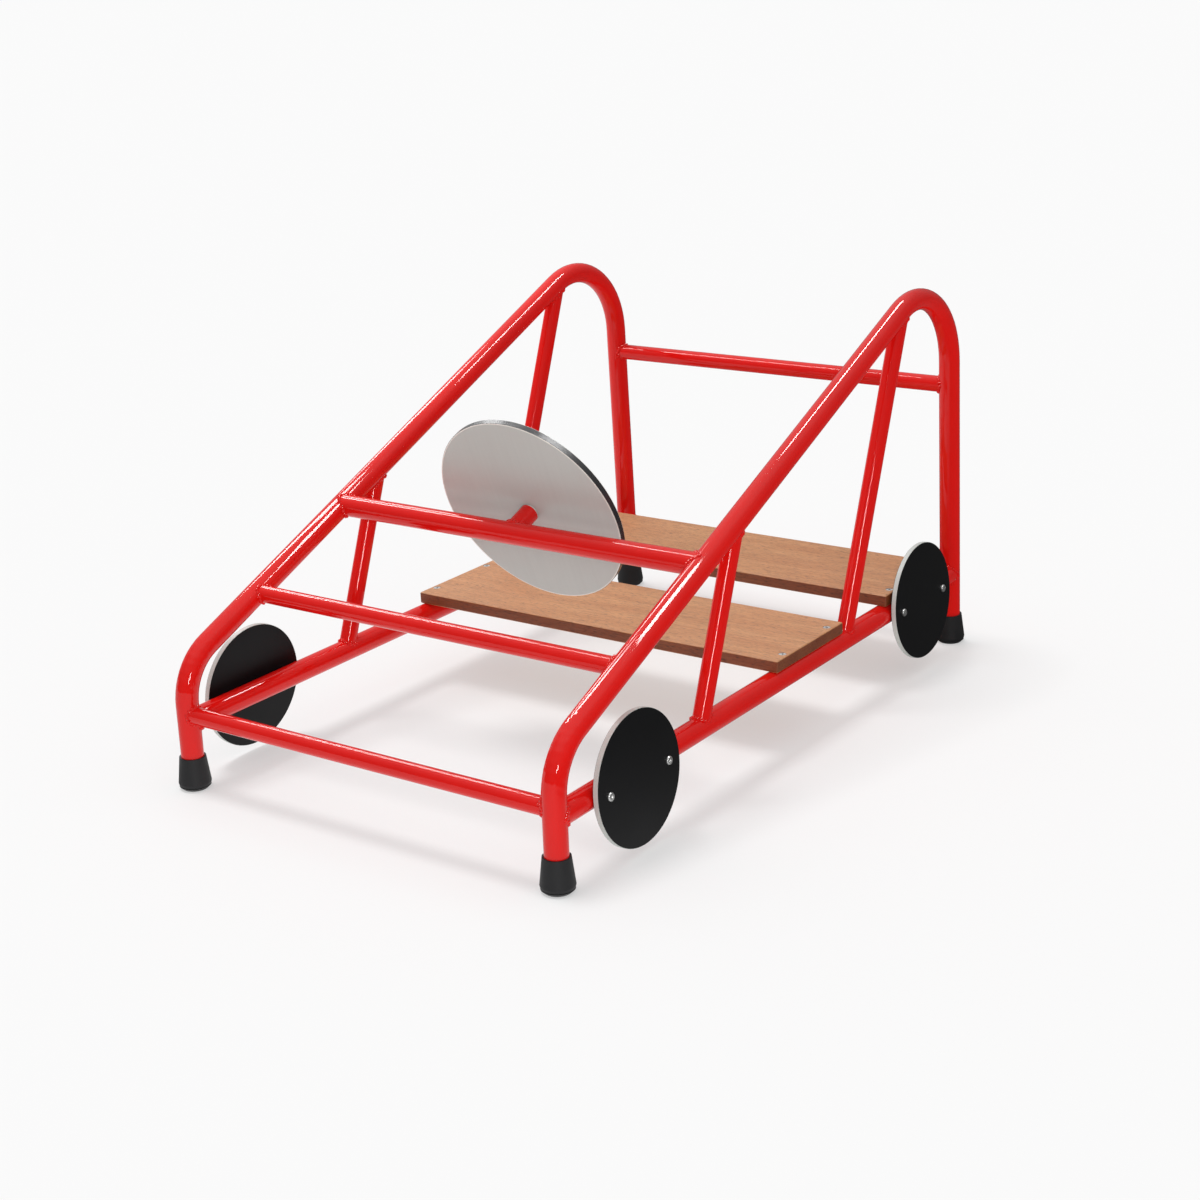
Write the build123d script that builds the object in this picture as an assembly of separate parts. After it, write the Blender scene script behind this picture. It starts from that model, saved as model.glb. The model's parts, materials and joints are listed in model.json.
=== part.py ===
"""Children's play car: two bent side hoops, rails and crossbars in steel tube, two plank
seats, four fixed disc wheels, rubber feet and a steering disc that turns on a stub.

Millimetres. X is the width, Y runs from the front to the rear and Z is up. The model is
built with the front legs at Y = 0 and is moved at the end so that the origin is the
bottom centre of the bounding box.
"""
import os
from math import atan2, cos, degrees, hypot, radians, sin, tan

from build123d import *

os.makedirs("parts", exist_ok=True)

# Tubes
main_tube_dia = 32.0
main_tube_wall = 2.0
light_tube_dia = 25.0
light_tube_wall = 2.0

# Side hoops: front leg, long slope, tight top bend, rear leg
track = 630.0                   # between the centre planes of the two hoops
base_length = 1068.0            # front foot centre to rear foot centre
slope_start_rise = 78.5         # rail's front end to where the slope's axis meets the leg's
slope_angle = 23.85
rear_leg_lean = 2.33            # the rear foot stands back by this angle
front_bend_radius = 82.0        # at the tube's axis
top_bend_radius = 118.0

# Side rails and the two leaning braces on each side
wheel_floor_gap = 7.5           # from the floor to the wheels, at the rail's front end
rail_rise = 18.0                # the rail's rear end stands higher by this
front_brace_pos = 323.0         # along the rail, at the rail's axis
rear_brace_gap = 18.0           # behind the front plank's rear edge
brace_lean = 21.7               # towards the rear, from square to the rail

# Crossbars
low_front_bar_rise = 11.5       # above the rail's front end
low_slope_bar_pos = 150.5       # Y of the axis, on the slope
dash_bar_pos = 338.0            # Y of the axis, on the slope
upper_rear_bar_height = 425.0

# Plank seats
plank_overhang = 10.0           # beyond the rail's axis at each end
plank_depth = 187.0
plank_thickness = 18.0
front_plank_share = 0.56655     # of the rail's length, to the centre of the plank
rear_plank_setback = 142.45     # from the rail's rear end to the centre of the plank
plank_edge_radius = 2.5
plank_screw_inset = 30.5        # from the long edges

# Fixed disc wheels
wheel_dia = 180.0
wheel_core_thickness = 6.8
wheel_face_thickness = 0.6
wheel_camber = 3.5              # the tops lean towards each other
front_wheel_gap = 55.5          # front leg's axis to the wheel's edge, along the rail
rear_wheel_gap = 52.45          # wheel's edge to the rail's rear end
wheel_screw_inset = 25.0        # from the wheel's edge

# Screws and blind rivet nuts in the rails
screw_dia = 6.0
screw_clearance = 0.3           # radial, where a screw passes through a plank or a wheel
button_head_dia = 12.0
button_head_height = 3.3
countersunk_head_dia = 11.0
countersunk_head_height = 2.5
head_sink = 0.3                 # below the plank's face
hex_socket = 4.0
hex_socket_depth = 1.8
wheel_screw_grip = 10.4         # below the nut's flange
plank_screw_grip = 9.8          # below the plank
nut_body_dia = 9.0
nut_end_gap = 5.0               # from the nut's end to the rail's axis
nut_flange_dia = 13.0
nut_flange_thickness = 1.6
nut_pocket_clearance = 0.3      # round the flange, under each plank

# Rubber feet
ferrule_height = 47.0
ferrule_rim_wall = 2.5
ferrule_bead_wall = 6.9
ferrule_bead_height = 9.5
ferrule_base_wall = 1.5
ferrule_chamfer_height = 4.2
ferrule_groove_depth = 0.9
ferrule_groove_height = 1.6
ferrule_sole = 6.5
foot_washer_gap = 2.5           # inside the ferrule's bore, all round
foot_washer_thickness = 1.5
foot_washer_hole = 8.0

# Steering disc, stub and bearing
disc_dia = 300.0
disc_core_thickness = 8.4
disc_face_thickness = 0.8
steering_angle = 22.8           # stub axis above the horizontal, towards the rear
disc_distance = 49.2            # dash bar axis to the disc's front face
stub_dia = 28.0
stub_wall = 2.0
plug_length = 20.0
axle_dia = 12.0
axle_thread_dia = 10.0
axle_thread_length = 18.0
axle_head_dia = 24.0
axle_head_height = 5.0
axle_socket = 6.0
axle_socket_depth = 3.0
bush_wall = 2.0
bush_flange_dia = 25.0
bush_flange_thickness = 2.0
bush_split = 0.2                # between the two bushes, inside the disc
running_clearance = 0.05        # radial, axle to bush
end_play = 0.3                  # each side of the disc
edge_break = 0.5                # on sheet and head edges

# Derived places
slope_rise = tan(radians(slope_angle))
lean_run = tan(radians(rear_leg_lean))
half_track = track / 2
main_radius = main_tube_dia / 2
light_radius = light_tube_dia / 2
leg_start = ferrule_sole + foot_washer_thickness
rail_front_height = wheel_dia / 2 + wheel_floor_gap
rail_rear_height = rail_front_height + rail_rise
slope_start_height = rail_front_height + slope_start_rise
low_front_bar_height = rail_front_height + low_front_bar_rise
low_rear_bar_height = rail_rear_height
corner_y = (base_length - lean_run * slope_start_height) / (1 + lean_run * slope_rise)
corner_z = slope_start_height + slope_rise * corner_y
leg_up = Vector(0, -sin(radians(rear_leg_lean)), cos(radians(rear_leg_lean)))
rail_rear_y = base_length - lean_run * rail_rear_height
rail_tilt = degrees(atan2(rail_rise, rail_rear_y))
rail_length = hypot(rail_rear_y, rail_rise)
plank_length = track + 2 * plank_overhang
front_plank_pos = front_plank_share * rail_length
rear_plank_pos = rail_length - rear_plank_setback
rear_brace_pos = front_plank_pos + plank_depth / 2 + rear_brace_gap
front_wheel_pos = wheel_dia / 2 + front_wheel_gap
rear_wheel_pos = rail_length - wheel_dia / 2 - rear_wheel_gap
wheel_screw_spacing = wheel_dia - 2 * wheel_screw_inset
wheel_thickness = wheel_core_thickness + 2 * wheel_face_thickness
nut_body_length = main_radius - nut_end_gap
wheel_screw_length = wheel_thickness + nut_flange_thickness + wheel_screw_grip
plank_screw_length = plank_thickness - head_sink + plank_screw_grip
foot_washer_dia = main_tube_dia - 2 * foot_washer_gap
disc_thickness = disc_core_thickness + 2 * disc_face_thickness
cutter_reach = 4 * main_tube_dia

# The deck plane holds both rail axes: x across, y along the rails, z square to them
deck = Plane(
    origin=(0, 0, rail_front_height),
    x_dir=(1, 0, 0),
    z_dir=(0, -sin(radians(rail_tilt)), cos(radians(rail_tilt))),
)

nodes = {}


def on_deck(x, y, z):
    return deck.from_local_coords(Vector(x, y, z))


def on_slope(x, y):
    return Vector(x, y, slope_start_height + slope_rise * y)


def on_rear_leg(x, z):
    return Vector(x, base_length - lean_run * z, z)


def rod(start, end, dia):
    """Solid round bar between two points."""
    span = Vector(end) - Vector(start)
    section = Plane(origin=start, z_dir=span) * Circle(dia / 2)
    return extrude(section, span.length, dir=span.normalized())


def tube(start, end, dia, wall):
    """Open tube between two points."""
    return rod(start, end, dia) - rod(start, end, dia - 2 * wall)


def both_sides(name, left_shape):
    """Store a left-hand piece (+X) and its mirror image."""
    nodes[name + "_left"] = left_shape
    nodes[name + "_right"] = mirror(left_shape, about=Plane.YZ)


def hoop_path(x):
    rear_foot = on_rear_leg(x, 0) + leg_up * leg_start
    return FilletPolyline(
        (x, 0, leg_start),
        (x, 0, slope_start_height),
        (x, corner_y, corner_z),
        rear_foot,
        radius=(front_bend_radius, top_bend_radius),
    )


def swept(path, dia):
    start = Plane(origin=path @ 0, z_dir=path % 0)
    return sweep(start * Circle(dia / 2), path=path)


def hex_recess(across_flats, depth):
    return extrude(RegularPolygon(across_flats / 2, 6, major_radius=False), -depth)


def button_screw():
    """Head on +Z, its seat at Z = 0, shank down -Z."""
    head = extrude(Circle(button_head_dia / 2), button_head_height)
    head = fillet(head.edges().group_by(Axis.Z)[-1], button_head_height * 0.7)
    head -= Pos(0, 0, button_head_height) * hex_recess(hex_socket, hex_socket_depth)
    shank = extrude(Circle(screw_dia / 2), -wheel_screw_length)
    return head + shank


def countersunk_screw():
    """Top of the head at Z = 0, shank down -Z."""
    lower = Pos(0, 0, -countersunk_head_height)
    head = loft([Circle(countersunk_head_dia / 2), lower * Circle(screw_dia / 2)])
    head -= hex_recess(hex_socket, hex_socket_depth)
    shank = extrude(Circle(screw_dia / 2), -(plank_screw_length - countersunk_head_height))
    return head + lower * shank


def rivet_nut():
    """Flange on top of Z = 0, body down -Z, threaded right through."""
    body = extrude(Circle(nut_body_dia / 2), -nut_body_length)
    flange = extrude(Circle(nut_flange_dia / 2), nut_flange_thickness)
    bore = Pos(0, 0, nut_flange_thickness) * extrude(
        Circle(screw_dia / 2), -(nut_body_length + nut_flange_thickness)
    )
    return body + flange - bore


# Side hoops -------------------------------------------------------------------
left_path = hoop_path(half_track)
hoop_solid = swept(left_path, main_tube_dia)
hoop_bore = swept(left_path, main_tube_dia - 2 * main_tube_wall)
both_sides("side_hoop", hoop_solid - hoop_bore)
both_hoops = [hoop_solid, mirror(hoop_solid, about=Plane.YZ)]

# Places on the rails ------------------------------------------------------------
plank_screw_rows = []
for centre in (front_plank_pos, rear_plank_pos):
    for side in (-1, 1):
        plank_screw_rows.append(centre + side * (plank_depth / 2 - plank_screw_inset))

camber = radians(wheel_camber)
wheel_axis = Vector(cos(camber), 0, sin(camber))


def wheel_plane(position, along=0.0):
    """Plane square to a left wheel, at the rail's surface, z outwards."""
    local = Plane(
        origin=Vector(half_track, position + along, 0) + wheel_axis * main_radius,
        x_dir=(0, 1, 0),
        z_dir=wheel_axis,
    )
    return deck.location * local.location


wheel_screw_places = []
for position in (front_wheel_pos, rear_wheel_pos):
    for side in (-1, 1):
        wheel_screw_places.append(wheel_plane(position, side * wheel_screw_spacing / 2))

plank_nut_places = []
for row in plank_screw_rows:
    plank_nut_places.append(deck.location * Pos(half_track, row, main_radius))

# Side rails -----------------------------------------------------------------------
rail_start = on_deck(half_track, 0, 0)
rail_end = Vector(half_track, rail_rear_y, rail_rear_height)
rail_solid = rod(rail_start, rail_end, main_tube_dia)
rail = rail_solid - rod(rail_start, rail_end, main_tube_dia - 2 * main_tube_wall)
rail -= hoop_solid
nut_hole = Pos(0, 0, main_radius / 2) * extrude(Circle(nut_body_dia / 2), -main_radius)
for place in wheel_screw_places + plank_nut_places:
    rail -= place * nut_hole
both_sides("side_rail", rail)
both_rails = [rail_solid, mirror(rail_solid, about=Plane.YZ)]

# Braces ---------------------------------------------------------------------------
lean = radians(brace_lean)
for name, position in (("front_brace", front_brace_pos), ("rear_brace", rear_brace_pos)):
    foot = on_deck(half_track, position, 0)
    direction = on_deck(half_track, position + sin(lean), cos(lean)) - foot
    slope_gap = slope_start_height + slope_rise * foot.Y - foot.Z
    reach = slope_gap / (direction.Z - slope_rise * direction.Y)
    brace = tube(foot, foot + direction * reach, light_tube_dia, light_tube_wall)
    both_sides(name, brace - rail_solid - hoop_solid)


# Crossbars ------------------------------------------------------------------------
def crossbar(place, dia, wall):
    """Bar between the hoops; place gives the axis point on the left hoop."""
    bar = tube(place, Vector(-place.X, place.Y, place.Z), dia, wall)
    for neighbour in both_hoops + both_rails:
        bar -= neighbour
    return bar


dash_place = on_slope(half_track, dash_bar_pos)
nodes["low_front_bar"] = crossbar(
    Vector(half_track, 0, low_front_bar_height), light_tube_dia, light_tube_wall
)
nodes["low_slope_bar"] = crossbar(
    on_slope(half_track, low_slope_bar_pos), light_tube_dia, light_tube_wall
)
nodes["dash_bar"] = crossbar(dash_place, main_tube_dia, main_tube_wall)
nodes["upper_rear_bar"] = crossbar(
    on_rear_leg(half_track, upper_rear_bar_height), light_tube_dia, light_tube_wall
)
nodes["low_rear_bar"] = crossbar(
    on_rear_leg(half_track, low_rear_bar_height), light_tube_dia, light_tube_wall
)

# Steering stub, plug, axle, bushes and disc: built along the stub's axis ------------------
steer = Plane(
    origin=(0, dash_place.Y, dash_place.Z),
    x_dir=(1, 0, 0),
    z_dir=(0, cos(radians(steering_angle)), sin(radians(steering_angle))),
).location
stub_end = disc_distance - bush_flange_thickness - end_play
dash_solid = rod(dash_place, Vector(-half_track, dash_place.Y, dash_place.Z), main_tube_dia)
stub = extrude(Circle(stub_dia / 2) - Circle(stub_dia / 2 - stub_wall), stub_end)
nodes["steering_stub"] = steer * stub - dash_solid

plug = extrude(Circle(stub_dia / 2 - stub_wall) - Circle(axle_thread_dia / 2), plug_length)
nodes["steering_plug"] = steer * Pos(0, 0, stub_end - plug_length) * plug

shoulder_length = disc_thickness + 2 * (bush_flange_thickness + end_play)
thread = Pos(0, 0, -axle_thread_length) * extrude(
    Circle(axle_thread_dia / 2), axle_thread_length
)
shoulder = extrude(Circle(axle_dia / 2), shoulder_length)
axle_head = extrude(Circle(axle_head_dia / 2), axle_head_height)
axle_head = fillet(axle_head.edges().group_by(Axis.Z)[-1], axle_head_height * 0.6)
axle_head -= Pos(0, 0, axle_head_height) * hex_recess(axle_socket, axle_socket_depth)
axle = thread + shoulder + Pos(0, 0, shoulder_length) * axle_head
nodes["steering_axle"] = steer * Pos(0, 0, stub_end) * axle

bush_bore = axle_dia / 2 + running_clearance
bush_radius = bush_bore + bush_wall
bush_sleeve = (disc_thickness - bush_split) / 2
bush = extrude(Circle(bush_radius), bush_sleeve)
bush += Pos(0, 0, -bush_flange_thickness) * extrude(
    Circle(bush_flange_dia / 2), bush_flange_thickness
)
bush -= Pos(0, 0, -bush_flange_thickness) * extrude(
    Circle(bush_bore), bush_flange_thickness + bush_sleeve
)
nodes["steering_bush_front"] = steer * Pos(0, 0, disc_distance) * bush
nodes["steering_bush_rear"] = (
    steer * Pos(0, 0, disc_distance + disc_thickness) * Rot(180, 0, 0) * bush
)


def sheet(dia, thickness, holes):
    """Round sheet from Z = 0 up, with (x, radius) holes."""
    plate = extrude(Circle(dia / 2), thickness)
    for x, radius in holes:
        plate -= Pos(x, 0, 0) * extrude(Circle(radius), thickness)
    return plate


disc_bore = [(0, bush_radius)]
disc_face = sheet(disc_dia - 2 * edge_break, disc_face_thickness, disc_bore)
disc_core = sheet(disc_dia, disc_core_thickness, disc_bore)
core_start = disc_distance + disc_face_thickness
nodes["steering_face_front"] = steer * Pos(0, 0, disc_distance) * disc_face
nodes["steering_core"] = steer * Pos(0, 0, core_start) * disc_core
nodes["steering_face_rear"] = steer * Pos(0, 0, core_start + disc_core_thickness) * disc_face

# Wheels -----------------------------------------------------------------------------
screw_hole = screw_dia / 2 + screw_clearance
wheel_holes = [(side * wheel_screw_spacing / 2, screw_hole) for side in (-1, 1)]
wheel_core = sheet(wheel_dia, wheel_core_thickness, wheel_holes)
wheel_face = sheet(wheel_dia - 2 * edge_break, wheel_face_thickness, wheel_holes)
for name, position in (("front", front_wheel_pos), ("rear", rear_wheel_pos)):
    place = wheel_plane(position) * Pos(0, 0, nut_flange_thickness)
    both_sides(
        "wheel_core_" + name, place * Pos(0, 0, wheel_face_thickness) * wheel_core
    )
    outer = Pos(0, 0, wheel_face_thickness + wheel_core_thickness)
    both_sides(
        "wheel_faces_" + name, Compound([place * wheel_face, place * outer * wheel_face])
    )


def mirrored_set(shapes):
    """One node of separate solids on both sides."""
    right = [mirror(shape, about=Plane.YZ) for shape in shapes]
    return Compound(shapes + right)


wheel_seat = Pos(0, 0, nut_flange_thickness + wheel_thickness)
nodes["wheel_screws"] = mirrored_set(
    [place * wheel_seat * button_screw() for place in wheel_screw_places]
)
nodes["wheel_rivet_nuts"] = mirrored_set([place * rivet_nut() for place in wheel_screw_places])

# Plank seats ------------------------------------------------------------------------
pocket_radius = nut_flange_dia / 2 + nut_pocket_clearance
pocket_depth = nut_flange_thickness + nut_pocket_clearance
sink_radius = countersunk_head_dia / 2 + screw_clearance
sink_floor = plank_thickness - head_sink - countersunk_head_height


def plank(centre):
    board = Pos(0, centre, main_radius + plank_thickness / 2) * Box(
        plank_length, plank_depth, plank_thickness
    )
    board = fillet(board.edges(), plank_edge_radius)
    for x in (-half_track, half_track):
        for side in (-1, 1):
            spot = Pos(x, centre + side * (plank_depth / 2 - plank_screw_inset), main_radius)
            board -= spot * extrude(Circle(screw_hole), plank_thickness)
            board -= spot * extrude(Circle(pocket_radius), pocket_depth)
            cone = loft([
                Pos(0, 0, sink_floor) * Circle(screw_hole),
                Pos(0, 0, plank_thickness - head_sink) * Circle(sink_radius),
            ])
            rim = Pos(0, 0, plank_thickness - head_sink) * extrude(
                Circle(sink_radius), head_sink
            )
            board -= spot * (cone + rim)
    return deck.location * board


nodes["plank_front"] = plank(front_plank_pos)
nodes["plank_rear"] = plank(rear_plank_pos)

plank_top = Pos(0, 0, plank_thickness - head_sink)
nodes["plank_screws"] = mirrored_set(
    [place * plank_top * countersunk_screw() for place in plank_nut_places]
)
nodes["plank_rivet_nuts"] = mirrored_set([place * rivet_nut() for place in plank_nut_places])


# Rubber feet --------------------------------------------------------------------------
def ferrule():
    """Tapered cup on Z, its bore from the sole up; the base runs on below Z = 0."""
    base = main_radius + ferrule_base_wall
    bead = main_radius + ferrule_bead_wall
    rim = main_radius + ferrule_rim_wall
    shoulder = bead - ferrule_groove_depth
    groove_top = ferrule_chamfer_height + ferrule_groove_height
    outline = Polyline(
        (0, -ferrule_sole / 4),
        (base, -ferrule_sole / 4),
        (base, 0),
        (shoulder, ferrule_chamfer_height),
        (shoulder - ferrule_groove_depth, ferrule_chamfer_height + ferrule_groove_height / 2),
        (shoulder, groove_top),
        (bead, ferrule_bead_height),
        (rim, ferrule_height),
        (main_radius, ferrule_height),
        (main_radius, ferrule_sole),
        (0, ferrule_sole),
        close=True,
    )
    return revolve(Plane.XZ * make_face(outline), axis=Axis.Z)


foot_washer = extrude(
    Circle(foot_washer_dia / 2) - Circle(foot_washer_hole / 2), foot_washer_thickness
)
floor_cut = Pos(0, base_length / 2, -cutter_reach / 2) * Box(
    2 * track, 2 * base_length, cutter_reach
)
foot_washers = []
for name, y, up in (("front", 0, Vector(0, 0, 1)), ("rear", base_length, leg_up)):
    place = Plane(origin=(half_track, y, 0), x_dir=(1, 0, 0), z_dir=up).location
    both_sides("ferrule_" + name, place * ferrule() - floor_cut)
    foot_washers.append(place * Pos(0, 0, ferrule_sole) * foot_washer)
nodes["foot_washers"] = mirrored_set(foot_washers)

# Origin at the bottom centre of the bounding box, then one file for each node ----------------
box = Compound(list(nodes.values())).bounding_box()
shift = -(box.min.Y + box.max.Y) / 2
for name, shape in nodes.items():
    export_step(Pos(0, shift, 0) * shape, "parts/" + name + ".step")

print("nodes", len(nodes), "Y shift", round(shift, 4))
print("size", [round(value, 2) for value in (box.size.X, box.size.Y, box.size.Z)])
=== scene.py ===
import json
import math
import bpy
import numpy as np
from mathutils import Matrix, Vector


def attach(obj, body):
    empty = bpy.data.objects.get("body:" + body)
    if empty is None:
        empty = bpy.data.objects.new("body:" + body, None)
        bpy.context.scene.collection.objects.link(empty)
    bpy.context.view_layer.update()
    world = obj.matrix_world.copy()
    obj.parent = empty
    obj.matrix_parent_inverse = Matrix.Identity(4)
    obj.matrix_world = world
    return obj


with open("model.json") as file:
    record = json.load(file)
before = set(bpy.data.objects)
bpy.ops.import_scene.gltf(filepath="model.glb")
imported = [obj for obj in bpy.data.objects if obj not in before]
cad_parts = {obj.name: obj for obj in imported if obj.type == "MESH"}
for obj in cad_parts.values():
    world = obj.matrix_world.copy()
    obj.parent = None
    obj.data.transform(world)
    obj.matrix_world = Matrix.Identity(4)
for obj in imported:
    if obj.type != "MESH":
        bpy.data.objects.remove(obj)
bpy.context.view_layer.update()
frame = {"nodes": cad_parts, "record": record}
cadNodes = frame["nodes"]
scene = bpy.context.scene
print("frame loaded:", len(cadNodes), "nodes")

# Camera: eye in metres, angles in degrees (azimuth from the front towards the left side), lens
# and sensor in millimetres
cameraView = {
    "eye": (1.71901, -2.34758, 1.11803),
    "azimuth": 36.126,
    "elevation": 18.022,
    "roll": -2.197,
    "lens": 61.88,
    "sensor": 36.0,
}

eye = bpy.data.cameras.new("studioCamera")
eye.lens = cameraView["lens"]
eye.sensor_width = cameraView["sensor"]
eye.clip_end = 200.0
cameraObject = bpy.data.objects.new("studioCamera", eye)
scene.collection.objects.link(cameraObject)
cameraObject.matrix_world = (
    Matrix.Translation(cameraView["eye"])
    @ Matrix.Rotation(math.radians(cameraView["azimuth"]), 4, "Z")
    @ Matrix.Rotation(math.radians(90.0 - cameraView["elevation"]), 4, "X")
    @ Matrix.Rotation(math.radians(cameraView["roll"]), 4, "Z")
)
scene.camera = cameraObject
print("camera ready")


def nodeVertices(name):
    mesh = cadNodes[name].data
    flat = np.zeros(len(mesh.vertices) * 3, np.float32)
    mesh.vertices.foreach_get("co", flat)
    return flat.reshape(-1, 3).astype(float)


# Shorthand for node trees: add a node, set its inputs by name or number, and link
def addNode(tree, kind, inputs=None, **settings):
    node = tree.nodes.new(kind)
    for key, value in settings.items():
        setattr(node, key, value)
    for key, value in (inputs or {}).items():
        if isinstance(value, bpy.types.NodeSocket):
            tree.links.new(value, node.inputs[key])
        else:
            node.inputs[key].default_value = value
    return node


def mathNode(tree, operation, first, second=0.0):
    return addNode(tree, "ShaderNodeMath", {0: first, 1: second}, operation=operation).outputs[0]


def vectorNode(tree, operation, first, second):
    node = addNode(tree, "ShaderNodeVectorMath", {0: first, 1: second}, operation=operation)
    return node.outputs["Value" if operation in ("DOT_PRODUCT", "DISTANCE") else "Vector"]


def rangeNode(tree, value, low, high, newLow=0.0, newHigh=1.0, smooth=False):
    inputs = {"Value": value, "From Min": low, "From Max": high, "To Min": newLow, "To Max": newHigh}
    kind = "SMOOTHSTEP" if smooth else "LINEAR"
    return addNode(tree, "ShaderNodeMapRange", inputs, interpolation_type=kind).outputs["Result"]


def noiseNode(tree, vector, scale, detail=2.0, roughness=0.5):
    inputs = {"Vector": vector, "Scale": scale, "Detail": detail, "Roughness": roughness}
    return addNode(tree, "ShaderNodeTexNoise", inputs).outputs["Fac"]


def stretchNode(tree, vector, scale):
    return addNode(tree, "ShaderNodeMapping", {"Vector": vector, "Scale": scale}).outputs["Vector"]


def mixColours(tree, factor, first, second):
    node = addNode(tree, "ShaderNodeMix", data_type="RGBA")
    for number, value in ((0, factor), (6, first), (7, second)):
        if isinstance(value, bpy.types.NodeSocket):
            tree.links.new(value, node.inputs[number])
        else:
            node.inputs[number].default_value = value
    return node.outputs[2]


def colour(red, green, blue):
    return (red, green, blue, 1.0)


# Studio: pale floor, an overcast sky of soft light that is dim near the horizon, long
# softboxes over the car, one in front of it and a wide sun for the shadows on the floor. The
# boxes are left and right as the camera sees them, and the car's own left side is +X
studio = {
    "floorSize": 160.0,
    "floorGrey": 0.40,
    "floorGlow": 0.475,
    "floorRoughness": 0.9,
    "aimHeight": 0.25,   # of the point that each softbox faces
    "backdrop": 0.955,
    "skyLevels": ((0.0, 0.16), (0.30, 0.34), (0.62, 0.58), (0.86, 1.25), (1.0, 1.4)),
    "sideGlow": {"towards": (-0.80, 0.40, 0.45), "spread": 0.70, "level": 0.4},
    "rightBox": {"centre": (0.46, 0.05, 1.75), "size": (0.20, 0.66), "level": 34.0},
    "rearBox": {"centre": (0.12, 0.74, 1.75), "size": (0.60, 0.20), "level": 30.0},
    "leftBox": {"centre": (-1.12, 0.10, 1.75), "size": (0.16, 1.30), "level": 22.0, "fills": True},
    "farLeftBox": {"centre": (-1.75, 0.75, 1.75), "size": (0.26, 1.00), "level": 13.0},
    "frontBox": {"centre": (2.37, -2.83, 1.30), "size": (0.55, 1.00), "level": 29.0, "fills": True},
    "floorMirror": {"towards": (0.72, 0.69), "from": -0.25, "to": 0.45, "bright": 0.95, "dim": 0.13},
    "floorSun": {"azimuth": -90.0, "elevation": 77.0, "angle": 20.0, "level": 1.6},
}

floorMesh = bpy.data.meshes.new("studioFloor")
half = studio["floorSize"] / 2
floorMesh.from_pydata(
    [(-half, -half, 0.0), (half, -half, 0.0), (half, half, 0.0), (-half, half, 0.0)],
    [], [(0, 1, 2, 3)],
)
floorObject = bpy.data.objects.new("studioFloor", floorMesh)
scene.collection.objects.link(floorObject)


# Floor: matt grey with a glow of its own. Glossy surfaces see it bright on one side of the car
# and dim on the other, as if the pale sheet ended there
def makeFloorPaint():
    paint = bpy.data.materials.new("studioFloor")
    paint.use_nodes = True
    tree = paint.node_tree
    matt = tree.nodes["Principled BSDF"]
    grey = studio["floorGrey"]
    matt.inputs["Base Color"].default_value = colour(grey, grey, grey)
    matt.inputs["Roughness"].default_value = studio["floorRoughness"]
    matt.inputs["Specular IOR Level"].default_value = 0.0
    matt.inputs["Emission Color"].default_value = colour(1.0, 1.0, 1.0)
    matt.inputs["Emission Strength"].default_value = studio["floorGlow"]
    mirror = studio["floorMirror"]
    place = addNode(tree, "ShaderNodeTexCoord").outputs["Object"]
    across = vectorNode(tree, "DOT_PRODUCT", place, (*mirror["towards"], 0.0))
    ends = (mirror["from"], mirror["to"], mirror["bright"], mirror["dim"])
    level = rangeNode(tree, across, *ends, smooth=True)
    glossy = addNode(tree, "ShaderNodeEmission", {"Strength": level})
    seen = addNode(tree, "ShaderNodeLightPath").outputs["Is Glossy Ray"]
    both = addNode(tree, "ShaderNodeMixShader", {0: seen, 1: matt.outputs[0], 2: glossy.outputs[0]})
    tree.links.new(both.outputs[0], tree.nodes["Material Output"].inputs["Surface"])
    return paint


floorMesh.materials.append(makeFloorPaint())


def makeSky():
    sky = bpy.data.worlds.new("studioSky")
    sky.use_nodes = True
    tree = sky.node_tree
    tree.nodes.clear()
    direction = addNode(tree, "ShaderNodeTexCoord").outputs["Generated"]
    height = addNode(tree, "ShaderNodeSeparateXYZ", {0: direction}).outputs["Z"]
    ramp = addNode(tree, "ShaderNodeValToRGB", {"Fac": height})
    highest = max(level for place, level in studio["skyLevels"])
    stops = ramp.color_ramp.elements
    while len(stops) < len(studio["skyLevels"]):
        stops.new(0.5)
    for stop, (place, level) in zip(stops, studio["skyLevels"]):
        stop.position = place
        share = level / highest
        stop.color = colour(share, share, share)
    glow = studio["sideGlow"]
    towards = Vector(glow["towards"]).normalized()
    facing = vectorNode(tree, "DOT_PRODUCT", direction, tuple(towards))
    side = rangeNode(tree, facing, glow["spread"], 1.0, 0.0, glow["level"], smooth=True)
    level = mathNode(tree, "ADD", mathNode(tree, "MULTIPLY", ramp.outputs["Color"], highest), side)
    lit = addNode(tree, "ShaderNodeBackground", {"Strength": level})  # in its own light grey
    plain = {"Color": colour(1.0, 1.0, 1.0), "Strength": studio["backdrop"]}
    back = addNode(tree, "ShaderNodeBackground", plain)
    seen = addNode(tree, "ShaderNodeLightPath").outputs["Is Camera Ray"]
    mixed = addNode(tree, "ShaderNodeMixShader", {0: seen, 1: lit.outputs[0], 2: back.outputs[0]})
    addNode(tree, "ShaderNodeOutputWorld", {"Surface": mixed.outputs[0]})
    return sky


scene.world = makeSky()
scene.view_settings.view_transform = "Standard"


# Light linking: a lamp reaches the floor alone, or everything but the floor
def litOnly(lamp, name, receivesFloor):
    linked = bpy.data.collections.new(name)
    linked.objects.link(floorObject)
    linked.collection_objects[0].light_linking.link_state = "INCLUDE" if receivesFloor else "EXCLUDE"
    lamp.light_linking.receiver_collection = linked


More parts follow.
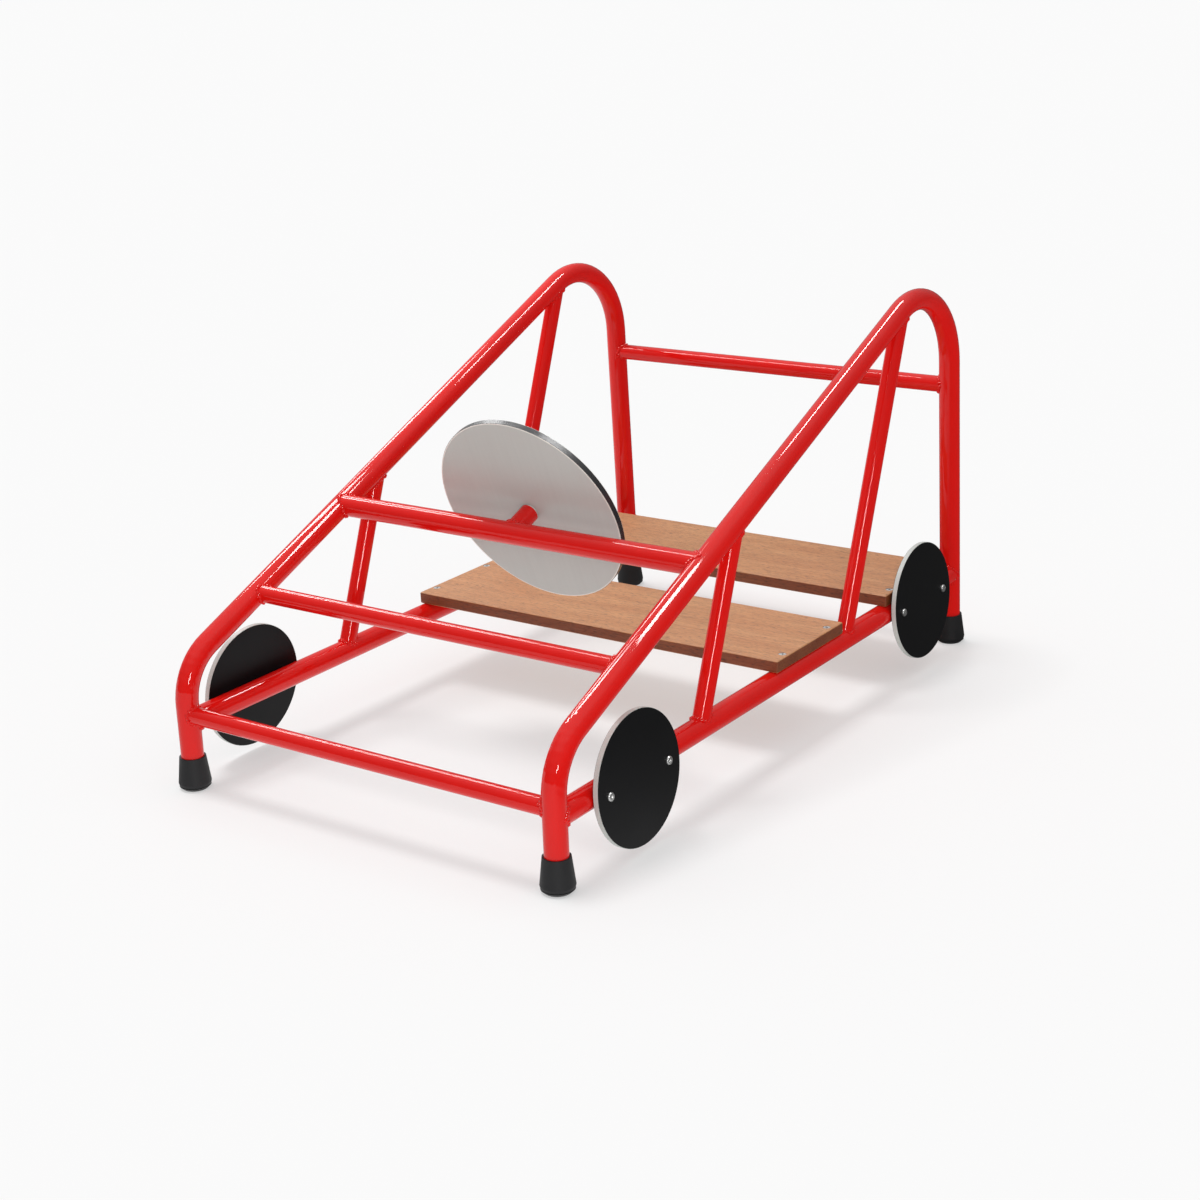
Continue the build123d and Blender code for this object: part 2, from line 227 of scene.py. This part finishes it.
def addSoftbox(name, box):
    width, length = box["size"]
    lamp = bpy.data.lights.new(name, "AREA")
    lamp.shape = "RECTANGLE"
    lamp.size, lamp.size_y = width, length
    lamp.energy = box["level"] * math.pi * width * length
    lampObject = bpy.data.objects.new(name, lamp)
    scene.collection.objects.link(lampObject)
    lampObject.location = box["centre"]
    aim = Vector((0.0, box["centre"][1], studio["aimHeight"])) - Vector(box["centre"])
    lampObject.rotation_euler = aim.to_track_quat("-Z", "Y").to_euler()
    lampObject.visible_camera = False
    lampObject.visible_diffuse = box.get("fills", False)
    litOnly(lampObject, name + "Receivers", False)


for boxName in ("rightBox", "rearBox", "leftBox", "farLeftBox", "frontBox"):
    addSoftbox(boxName, studio[boxName])

sunSettings = studio["floorSun"]
sun = bpy.data.lights.new("floorSun", "SUN")
sun.angle = math.radians(sunSettings["angle"])
sun.energy = sunSettings["level"]
sunObject = bpy.data.objects.new("floorSun", sun)
scene.collection.objects.link(sunObject)
sunObject.rotation_euler = (
    math.radians(90.0 - sunSettings["elevation"]), 0.0, math.radians(sunSettings["azimuth"])
)
litOnly(sunObject, "floorSunReceivers", True)
print("studio ready")


# Shared effects are node groups: places and scales go in, values over the surface come out
def newGroup(name, inputs, outputs):
    group = bpy.data.node_groups.new(name, "ShaderNodeTree")
    for label, kind, value in inputs:
        socket = group.interface.new_socket(label, in_out="INPUT", socket_type=kind)
        if value is not None:
            socket.default_value = value
    for label, kind in outputs:
        group.interface.new_socket(label, in_out="OUTPUT", socket_type=kind)
    return group, group.nodes.new("NodeGroupInput"), group.nodes.new("NodeGroupOutput")


cloudRange = (0.3, 0.7)
speckRange = (0.64, 0.76)


# Skin: a fine pebble or orange peel, broad cloudy mottle and rare specks, all from one vector
def makeSkin():
    group, given, result = newGroup(
        "surfaceSkin",
        [("Vector", "NodeSocketVector", None), ("Peel Scale", "NodeSocketFloat", 400.0),
         ("Cloud Scale", "NodeSocketFloat", 9.0), ("Speck Scale", "NodeSocketFloat", 900.0)],
        [("Height", "NodeSocketFloat"), ("Cloud", "NodeSocketFloat"), ("Speck", "NodeSocketFloat")],
    )
    place = given.outputs["Vector"]
    peel = noiseNode(group, place, given.outputs["Peel Scale"], detail=2.0, roughness=0.45)
    cloud = noiseNode(group, place, given.outputs["Cloud Scale"], detail=4.0, roughness=0.55)
    dots = noiseNode(group, place, given.outputs["Speck Scale"], detail=1.0, roughness=0.5)
    group.links.new(peel, result.inputs["Height"])
    group.links.new(rangeNode(group, cloud, *cloudRange), result.inputs["Cloud"])
    group.links.new(rangeNode(group, dots, *speckRange), result.inputs["Speck"])
    return group


woodFigure = {
    "driftStretch": (1.6, 7.0, 7.0), "driftReach": 0.05,   # how far the drift bends a band, in metres
    "fibreStretch": (0.045, 1.0, 1.0),
    "bandStretch": (0.12, 1.0, 0.7), "bandRange": (0.3, 0.7),
    "poreStretch": (0.085, 1.0, 1.0), "poreRange": (0.56, 0.70), "poreScale": 1250.0,
}


# Grain: long fibres along X, growth bands bent by a slow drift, and short dark pores
def makeGrain():
    group, given, result = newGroup(
        "woodGrain",
        [("Vector", "NodeSocketVector", None), ("Fibre Scale", "NodeSocketFloat", 420.0),
         ("Band Scale", "NodeSocketFloat", 26.0)],
        [("Fibre", "NodeSocketFloat"), ("Band", "NodeSocketFloat"), ("Pore", "NodeSocketFloat")],
    )
    place = given.outputs["Vector"]
    figure = woodFigure
    drift = noiseNode(group, stretchNode(group, place, figure["driftStretch"]), 1.0, detail=2.0)
    shift = mathNode(group, "MULTIPLY", drift, figure["driftReach"])
    driftOffset = addNode(group, "ShaderNodeCombineXYZ", {"Y": shift})
    bent = vectorNode(group, "ADD", place, driftOffset.outputs[0])
    along = stretchNode(group, bent, figure["fibreStretch"])
    fibre = noiseNode(group, along, given.outputs["Fibre Scale"], detail=3.0, roughness=0.6)
    along = stretchNode(group, bent, figure["bandStretch"])
    band = noiseNode(group, along, given.outputs["Band Scale"], detail=4.0, roughness=0.6)
    along = stretchNode(group, bent, figure["poreStretch"])
    pore = noiseNode(group, along, figure["poreScale"], detail=1.0)
    group.links.new(fibre, result.inputs["Fibre"])
    group.links.new(rangeNode(group, band, *figure["bandRange"]), result.inputs["Band"])
    group.links.new(rangeNode(group, pore, *figure["poreRange"]), result.inputs["Pore"])
    return group


skinGroup = makeSkin()
grainGroup = makeGrain()
print("node groups ready")


def newMaterial(name):
    material = bpy.data.materials.new(name)
    material.use_nodes = True
    tree = material.node_tree
    shader = tree.nodes["Principled BSDF"]
    place = addNode(tree, "ShaderNodeTexCoord").outputs["Object"]
    return material, tree, shader, place


def groupNode(tree, group, **inputs):
    node = tree.nodes.new("ShaderNodeGroup")
    node.node_tree = group
    for key, value in inputs.items():
        label = {"peel": "Peel Scale", "cloud": "Cloud Scale", "speck": "Speck Scale",
                 "fibre": "Fibre Scale", "band": "Band Scale", "vector": "Vector"}[key]
        if isinstance(value, bpy.types.NodeSocket):
            tree.links.new(value, node.inputs[label])
        else:
            node.inputs[label].default_value = value
    return node


def bumpNode(tree, height, strength, distance):
    inputs = {"Height": height, "Strength": strength, "Distance": distance}
    return addNode(tree, "ShaderNodeBump", inputs).outputs["Normal"]


# Rolls left by the bending die: a sine of the distance along one direction in the YZ plane,
# shifted by noise and faded out with the distance from a point inside the bend
def bendRolls(tree, place, look):
    middleY, middleZ = look["middle"]
    fromBend = vectorNode(tree, "SUBTRACT", place, (0.0, middleY, middleZ))
    flat = vectorNode(tree, "MULTIPLY", fromBend, (0.0, 1.0, 1.0))
    distance = vectorNode(tree, "DISTANCE", flat, (0.0, 0.0, 0.0))
    reach = look["reach"]
    nearBend = rangeNode(tree, distance, look["fadeFrom"] * reach, reach, 1.0, 0.0, smooth=True)
    along = vectorNode(tree, "DOT_PRODUCT", flat, look["direction"])
    noise = noiseNode(tree, place, look["driftScale"], detail=1.0)
    drift = mathNode(tree, "MULTIPLY", noise, look["driftShare"])
    turns = mathNode(tree, "ADD", mathNode(tree, "DIVIDE", along, look["pitch"]), drift)
    rolls = mathNode(tree, "SINE", mathNode(tree, "MULTIPLY", turns, 2 * math.pi))
    return mathNode(tree, "MULTIPLY", mathNode(tree, "MULTIPLY", rolls, nearBend), look["depth"])


# One recipe for painted, moulded and plated surfaces: two tints clouded together, a peel
# bump, roughness that drifts, and faint specks
def skinMaterial(name, look):
    material, tree, shader, place = newMaterial(name)
    skin = groupNode(tree, skinGroup, vector=place, peel=look["peelScale"],
                     cloud=look["cloudScale"], speck=look["speckScale"])
    tint = mixColours(tree, skin.outputs["Cloud"], colour(*look["tint"]), colour(*look["secondTint"]))
    speckShare = mathNode(tree, "MULTIPLY", skin.outputs["Speck"], look["speckShare"])
    tint = mixColours(tree, speckShare, tint, colour(*look["speckTint"]))
    tree.links.new(tint, shader.inputs["Base Color"])
    low, high = look["roughness"]
    tree.links.new(rangeNode(tree, skin.outputs["Cloud"], 0.0, 1.0, low, high), shader.inputs["Roughness"])
    height = skin.outputs["Height"]
    wave = look.get("wave")
    if wave:  # slow waviness, added to the peel
        slow = noiseNode(tree, place, wave["scale"], detail=1.0, roughness=0.4)
        height = mathNode(tree, "ADD", height, mathNode(tree, "MULTIPLY", slow, wave["share"]))
    wrinkles = look.get("wrinkles")
    if wrinkles:  # faint rolls across the tube, only near the front bends
        height = mathNode(tree, "ADD", height, bendRolls(tree, place, wrinkles))
    normal = bumpNode(tree, height, look["bump"], look["peelDepth"])
    tree.links.new(normal, shader.inputs["Normal"])
    shader.inputs["Metallic"].default_value = look.get("metal", 0.0)
    shader.inputs["Specular IOR Level"].default_value = look.get("specular", 0.5)
    return material


redPowderCoat = {
    "tint": (0.76, 0.0085, 0.0060), "secondTint": (0.70, 0.0070, 0.0052), "specular": 0.32,
    "speckTint": (0.75, 0.05, 0.05), "speckShare": 0.10,
    "roughness": (0.035, 0.06), "peelScale": 260.0, "cloudScale": 7.0, "speckScale": 700.0,
    "bump": 0.06, "peelDepth": 0.00012, "wave": {"scale": 26.0, "share": 0.5},
    "wrinkles": {
        "pitch": 0.013, "depth": 20.0, "direction": (0.0, 0.56, 0.83),
        "middle": (-0.514, 0.175), "reach": 0.062, "fadeFrom": 0.6,
        "driftScale": 60.0, "driftShare": 0.9,
    },
}
blackLaminate = {
    "tint": (0.0035, 0.0035, 0.0042), "secondTint": (0.005, 0.005, 0.0055), "specular": 0.16,
    "speckTint": (0.02, 0.02, 0.022), "speckShare": 0.35,
    "roughness": (0.40, 0.50), "peelScale": 1500.0, "cloudScale": 14.0, "speckScale": 1400.0,
    "bump": 0.35, "peelDepth": 0.0001,
}
greyCore = {
    "tint": (0.60, 0.64, 0.61), "secondTint": (0.53, 0.57, 0.54),
    "speckTint": (0.40, 0.39, 0.36), "speckShare": 0.3,
    "roughness": (0.42, 0.55), "peelScale": 900.0, "cloudScale": 30.0, "speckScale": 900.0,
    "bump": 0.4, "peelDepth": 0.00015,
}
discEdge = {
    "tint": (0.020, 0.020, 0.022), "secondTint": (0.028, 0.028, 0.031),
    "speckTint": (0.08, 0.08, 0.085), "speckShare": 0.3,
    "roughness": (0.24, 0.34), "peelScale": 1200.0, "cloudScale": 40.0, "speckScale": 900.0,
    "bump": 0.3, "peelDepth": 0.0001,
}
footRubber = {
    "tint": (0.009, 0.009, 0.010), "secondTint": (0.013, 0.013, 0.014), "specular": 0.35,
    "speckTint": (0.04, 0.04, 0.042), "speckShare": 0.25,
    "roughness": (0.52, 0.66), "peelScale": 1300.0, "cloudScale": 45.0, "speckScale": 1100.0,
    "bump": 0.6, "peelDepth": 0.00015,
}
whiteNylon = {
    "tint": (0.74, 0.73, 0.69), "secondTint": (0.68, 0.67, 0.62),
    "speckTint": (0.55, 0.54, 0.50), "speckShare": 0.2,
    "roughness": (0.35, 0.45), "peelScale": 1500.0, "cloudScale": 60.0, "speckScale": 1300.0,
    "bump": 0.3, "peelDepth": 0.0001,
}
brightSteel = {
    "tint": (0.70, 0.70, 0.69), "secondTint": (0.61, 0.61, 0.60),
    "speckTint": (0.45, 0.45, 0.44), "speckShare": 0.2,
    "roughness": (0.28, 0.40), "peelScale": 2500.0, "cloudScale": 160.0, "speckScale": 2200.0,
    "bump": 0.4, "peelDepth": 0.00005, "metal": 1.0,
}
zincPlate = {
    "tint": (0.55, 0.55, 0.52), "secondTint": (0.47, 0.48, 0.50),
    "speckTint": (0.30, 0.30, 0.28), "speckShare": 0.3,
    "roughness": (0.30, 0.46), "peelScale": 1800.0, "cloudScale": 200.0, "speckScale": 1600.0,
    "bump": 0.5, "peelDepth": 0.00006, "metal": 1.0,
}

plankFinish = {
    "light": (0.72, 0.365, 0.160), "mid": (0.58, 0.255, 0.100), "dark": (0.30, 0.105, 0.040),
    "poreTint": (0.10, 0.032, 0.016), "poreShare": 0.75,
    "fibreShare": 0.40,
    "edgeGrainAndPaintedShade": (0.38, 0.20, 0.12),   # darker on faces that aren't upright: partly the edges' own darker grain, partly painted shade
    "edgeFade": (0.25, 0.75),          # normal's vertical share: shaded below, plain above
    "fibreScale": 420.0, "fibreRange": (0.32, 0.68), "bandScale": 30.0,
    "roughness": (0.42, 0.60), "fibreDepth": 0.0003, "poreDepth": 1.5, "bump": 0.45,
}


def plankMaterial(name, look):
    material, tree, shader, place = newMaterial(name)
    grain = groupNode(tree, grainGroup, vector=place, fibre=look["fibreScale"], band=look["bandScale"])
    fibre = rangeNode(tree, grain.outputs["Fibre"], *look["fibreRange"])
    tint = mixColours(tree, grain.outputs["Band"], colour(*look["mid"]), colour(*look["light"]))
    fibreShare = mathNode(tree, "MULTIPLY", fibre, look["fibreShare"])
    tint = mixColours(tree, fibreShare, tint, colour(*look["dark"]))
    poreShare = mathNode(tree, "MULTIPLY", grain.outputs["Pore"], look["poreShare"])
    tint = mixColours(tree, poreShare, tint, colour(*look["poreTint"]))
    # Painted shade on the sawn edges: faces that aren't upright take the edge tint, which is partly the
    # edges' darker grain and partly shade
    facing = addNode(tree, "ShaderNodeNewGeometry").outputs["True Normal"]
    upright = mathNode(tree, "ABSOLUTE", vectorNode(tree, "DOT_PRODUCT", facing, (0.0, 0.0, 1.0)))
    face = rangeNode(tree, upright, *look["edgeFade"], smooth=True)
    edgeGrainAndShade = mixColours(tree, face, colour(*look["edgeGrainAndPaintedShade"]), colour(1.0, 1.0, 1.0))
    tint = vectorNode(tree, "MULTIPLY", tint, edgeGrainAndShade)
    tree.links.new(tint, shader.inputs["Base Color"])
    low, high = look["roughness"]
    tree.links.new(rangeNode(tree, fibre, 0.0, 1.0, low, high), shader.inputs["Roughness"])
    pit = mathNode(tree, "MULTIPLY", grain.outputs["Pore"], look["poreDepth"])
    height = mathNode(tree, "SUBTRACT", fibre, pit)
    tree.links.new(bumpNode(tree, height, look["bump"], look["fibreDepth"]), shader.inputs["Normal"])
    return material


discFinish = {
    "tint": (0.52, 0.54, 0.51), "streakTint": (0.50, 0.518, 0.49),
    "streakScale": 150.0, "streakStretch": (1.0, 0.03, 0.03), "streakRange": (0.3, 0.7),
    "streakShare": 0.7, "cloudShare": 0.3, "cloudScale": 8.0,
    "peelScale": 1600.0, "peelShare": 0.4,
    "roughness": (0.32, 0.40), "bump": 0.2, "streakDepth": 0.0001,
    "rimTint": (0.80, 0.78, 0.72), "rimWidth": 0.0020, "rimBlur": 0.2,
}


# The disc's laminate has faint brushed streaks that run up its face, and a pale cut rim: every
# point farther from the disc's middle than its reach less the rim's width
def discMaterial(name, look):
    material, tree, shader, place = newMaterial(name)
    skin = groupNode(tree, skinGroup, vector=place, peel=look["peelScale"], cloud=look["cloudScale"])
    along = stretchNode(tree, place, look["streakStretch"])
    streak = noiseNode(tree, along, look["streakScale"], detail=3.0, roughness=0.6)
    share = mathNode(tree, "MULTIPLY", rangeNode(tree, streak, *look["streakRange"]), look["streakShare"])
    cloudShare = mathNode(tree, "MULTIPLY", skin.outputs["Cloud"], look["cloudShare"])
    share = mathNode(tree, "ADD", share, cloudShare)
    tint = mixColours(tree, share, colour(*look["tint"]), colour(*look["streakTint"]))
    points = nodeVertices("steering_core")
    middle = (points.min(0) + points.max(0)) / 2
    reach = np.linalg.norm(points - middle, axis=1).max()
    distance = vectorNode(tree, "DISTANCE", place, tuple(middle))
    blur = look["rimBlur"]
    width = look["rimWidth"]
    rim = rangeNode(tree, distance, reach - (1 + blur) * width, reach - (1 - blur) * width)
    tint = mixColours(tree, rim, tint, colour(*look["rimTint"]))
    tree.links.new(tint, shader.inputs["Base Color"])
    low, high = look["roughness"]
    tree.links.new(rangeNode(tree, streak, *look["streakRange"], low, high), shader.inputs["Roughness"])
    peel = mathNode(tree, "MULTIPLY", skin.outputs["Height"], look["peelShare"])
    height = mathNode(tree, "ADD", streak, peel)
    tree.links.new(bumpNode(tree, height, look["bump"], look["streakDepth"]), shader.inputs["Normal"])
    return material


finishes = {
    "red_tube": skinMaterial("redPowderCoat", redPowderCoat),
    "plank_wood": plankMaterial("oiledHardwood", plankFinish),
    "wheel_core": skinMaterial("greyCoreSheet", greyCore),
    "wheel_laminate": skinMaterial("blackLaminate", blackLaminate),
    "disc_laminate": discMaterial("brushedGreyLaminate", discFinish),
    "disc_core": skinMaterial("darkDiscEdge", discEdge),
    "foot_rubber": skinMaterial("footRubber", footRubber),
    "white_nylon": skinMaterial("whiteNylon", whiteNylon),
    "bright_fasteners": skinMaterial("brightSteel", brightSteel),
    "zinc_inserts": skinMaterial("zincPlate", zincPlate),
}
slotOf = {part["node"]: part["material_slot"] for part in frame["record"]["subparts"]}
for nodeName, nodeObject in cadNodes.items():
    for materialSlot in nodeObject.material_slots:
        materialSlot.material = finishes[slotOf[nodeName]]
print("materials assigned")

# Weld beads: a rippled cord of weld laid along the line where one tube meets another
weld = {
    "radius": 0.0036,      # of the bead's round section
    "sunk": 0.3,           # share of the radius that the bead sinks into the tube
    "ripplePitch": 0.0044,
    "rippleDepth": 0.44,   # share of the radius
    "rippleShape": 0.7,    # below 1 the ripples are round with sharp gaps
    "rippleDrift": 0.7,    # in radians, so that the ripples aren't evenly spaced
    "driftWaves": 7,
    "fewestRipples": 8,
    "wander": 0.12,        # slow change of the radius along a bead
    "wanderWaves": 5,
    "lump": 0.42,          # small lumps, share of the radius
    "stepsAround": 16,
    "stepLength": 0.0006,
    "reach": 2.6,          # a coped end lies within this many tube radii of the tube's end
}
tubeRadius = {"dash_bar": 0.016, "side_rail": 0.016, "steering_stub": 0.014}
lightTubeRadius = 0.0125
tubeWall = 0.002
axisRounds = 12                # of least squares, for a tube's axis
sideHint = (1.0, 0.3, 0.2)     # a direction that no tube follows


# Axis of a straight tube: least squares on each vertex's distance to the axis, which is the
# outer or the inner radius, whichever is nearer, from the cloud's long direction as a start
def tubeAxis(points, radius, wall):
    centre = (points.max(0) + points.min(0)) / 2
    along = np.linalg.svd(points - points.mean(0), full_matrices=False)[2][0]
    for turn in range(axisRounds):
        first = np.cross(along, sideHint)
        first /= np.linalg.norm(first)
        second = np.cross(along, first)
        offset = points - centre
        place = offset @ along
        x, y = offset @ first, offset @ second
        distance = np.hypot(x, y)
        target = np.where(abs(distance - radius) < abs(distance - radius + wall), radius, radius - wall)
        ux, uy = x / distance, y / distance
        slopes = np.stack([-ux, -uy, -ux * place, -uy * place], 1)
        step = np.linalg.lstsq(slopes, target - distance, rcond=None)[0]
        centre = centre + step[0] * first + step[1] * second
        along = along + step[2] * first + step[3] * second
        along /= np.linalg.norm(along)
    return centre, along, first, second


# A smooth random line round a circle: a sum of cosines of whole turns, each with its own random
# height and phase
def smoothRandom(random, count, waves):
    angle = np.linspace(0.0, 2 * np.pi, count, endpoint=False)
    turns = np.arange(1, waves + 1)[:, None]
    phase = random.uniform(0, 2 * np.pi, (waves, 1))
    height = random.normal(0, 1, (waves, 1)) / np.sqrt(waves)
    return (height * np.cos(turns * angle + phase)).sum(0)


# Bead on one tube end. The line is: axis point + radius * outward(angle) + place(angle) * axis,
# with place read from the coped end. The bead is: line + r(s) * (cos v * outward + sin v * across),
# where r(s) ripples like laid coins
def beadOnEnd(name, radius, endSign, seed):
    random = np.random.default_rng(seed)
    points = nodeVertices(name)
    centre, along, first, second = tubeAxis(points, radius, tubeWall)
    along = along * endSign
    offset = points - centre
    place = offset @ along
    x, y = offset @ first, offset @ second
    outer = np.hypot(x, y) > radius - tubeWall / 4
    nearEnd = place > place.max() - weld["reach"] * radius
    angle = np.arctan2(y, x)[outer & nearEnd]
    place = place[outer & nearEnd]
    order = np.argsort(angle)
    count = int(2 * np.pi * radius / weld["stepLength"])
    grid = np.linspace(-np.pi, np.pi, count, endpoint=False)
    placeOnLine = np.interp(grid, angle[order], place[order], period=2 * np.pi)
    outward = np.cos(grid)[:, None] * first + np.sin(grid)[:, None] * second
    line = centre + (radius - weld["sunk"] * weld["radius"]) * outward + placeOnLine[:, None] * along
    tangent = np.roll(line, -1, 0) - np.roll(line, 1, 0)
    stepLength = np.linalg.norm(tangent, axis=1) / 2
    tangent /= np.linalg.norm(tangent, axis=1)[:, None]
    arc = np.cumsum(stepLength)
    ripples = max(weld["fewestRipples"], round(arc[-1] / weld["ripplePitch"]))
    drift = weld["rippleDrift"] * smoothRandom(random, count, weld["driftWaves"])
    phase = arc / arc[-1] * ripples * np.pi + drift
    ripple = 1.0 - weld["rippleDepth"] * (1.0 - np.abs(np.sin(phase)) ** weld["rippleShape"])
    wander = weld["wander"] * smoothRandom(random, count, weld["wanderWaves"])
    size = weld["radius"] * ripple * (1.0 + wander)
    normal = outward - (outward * tangent).sum(1)[:, None] * tangent
    normal /= np.linalg.norm(normal, axis=1)[:, None]
    across = np.cross(tangent, normal)
    turn = np.linspace(0.0, 2 * np.pi, weld["stepsAround"], endpoint=False)
    ring = (
        np.cos(turn)[None, :, None] * normal[:, None, :]
        + np.sin(turn)[None, :, None] * across[:, None, :]
    )
    lump = np.stack([smoothRandom(random, count, ripples) for step in turn], 1)
    lump = (lump + np.roll(lump, 1, 1) + np.roll(lump, -1, 1)) / 3
    thick = size[:, None] * (1.0 + weld["lump"] * lump)
    return line[:, None, :] + thick[:, :, None] * ring


# Faces of a grid of points that closes on itself both ways
def closedGridFaces(rows, columns, start=0):
    row, column = np.meshgrid(np.arange(rows), np.arange(columns), indexing="ij")
    nextRow, nextColumn = (row + 1) % rows, (column + 1) % columns
    corners = [row * columns + column, nextRow * columns + column,
               nextRow * columns + nextColumn, row * columns + nextColumn]
    return np.stack(corners, -1).reshape(-1, 4) + start


def meshObject(name, vertices, faces, material, body):
    mesh = bpy.data.meshes.new(name)
    mesh.from_pydata(vertices.tolist(), [], faces.tolist())
    mesh.polygons.foreach_set("use_smooth", np.ones(len(mesh.polygons), bool))
    mesh.materials.append(material)
    mesh.update()
    piece = bpy.data.objects.new(name, mesh)
    scene.collection.objects.link(piece)
    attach(piece, body)
    return piece


def outwardFaces(grid, faces):
    # the signed volume of the closed surface says whether its faces point outwards
    corner = grid[faces]
    volume = np.einsum("ij,ij->i", corner[:, 0], np.cross(corner[:, 1], corner[:, 2])).sum()
    volume += np.einsum("ij,ij->i", corner[:, 0], np.cross(corner[:, 2], corner[:, 3])).sum()
    return faces if volume > 0 else faces[:, ::-1]


def weldPiece(pieceName, ends):
    allPoints, allFaces, start = [], [], 0
    for nodeName, radius, endSign, seed in ends:
        grid = beadOnEnd(nodeName, radius, endSign, seed)
        rows, columns = grid.shape[:2]
        flat = grid.reshape(-1, 3)
        faces = outwardFaces(flat - flat.mean(0), closedGridFaces(rows, columns))
        allPoints.append(flat)
        allFaces.append(faces + start)
        start += len(flat)
    return meshObject(pieceName, np.vstack(allPoints), np.vstack(allFaces),
                      finishes["red_tube"], "frame")


for side in ("left", "right"):
    ends = []
    for number, part in enumerate(("front_brace", "rear_brace", "side_rail")):
        radius = tubeRadius.get(part, lightTubeRadius)
        for endSign in (-1, 1):
            seed = 10 * number + endSign + (side == "left") + 3   # each bead has its own
            ends.append((part + "_" + side, radius, endSign, seed))
    weldPiece("welds_" + side, ends)
crossEnds = []
crossbars = ("low_front_bar", "low_slope_bar", "dash_bar", "upper_rear_bar", "low_rear_bar")
for number, part in enumerate(crossbars):
    radius = tubeRadius.get(part, lightTubeRadius)
    for endSign in (-1, 1):
        crossEnds.append((part, radius, endSign, 100 + 10 * number + endSign))
stubAxis = tubeAxis(nodeVertices("steering_stub"), tubeRadius["steering_stub"], tubeWall)[1]
stubEnd = -1 if stubAxis[1] > 0 else 1  # its front end, on the dash bar
crossEnds.append(("steering_stub", tubeRadius["steering_stub"], stubEnd, 170))
weldPiece("welds_crossbars", crossEnds)
print("welds laid")
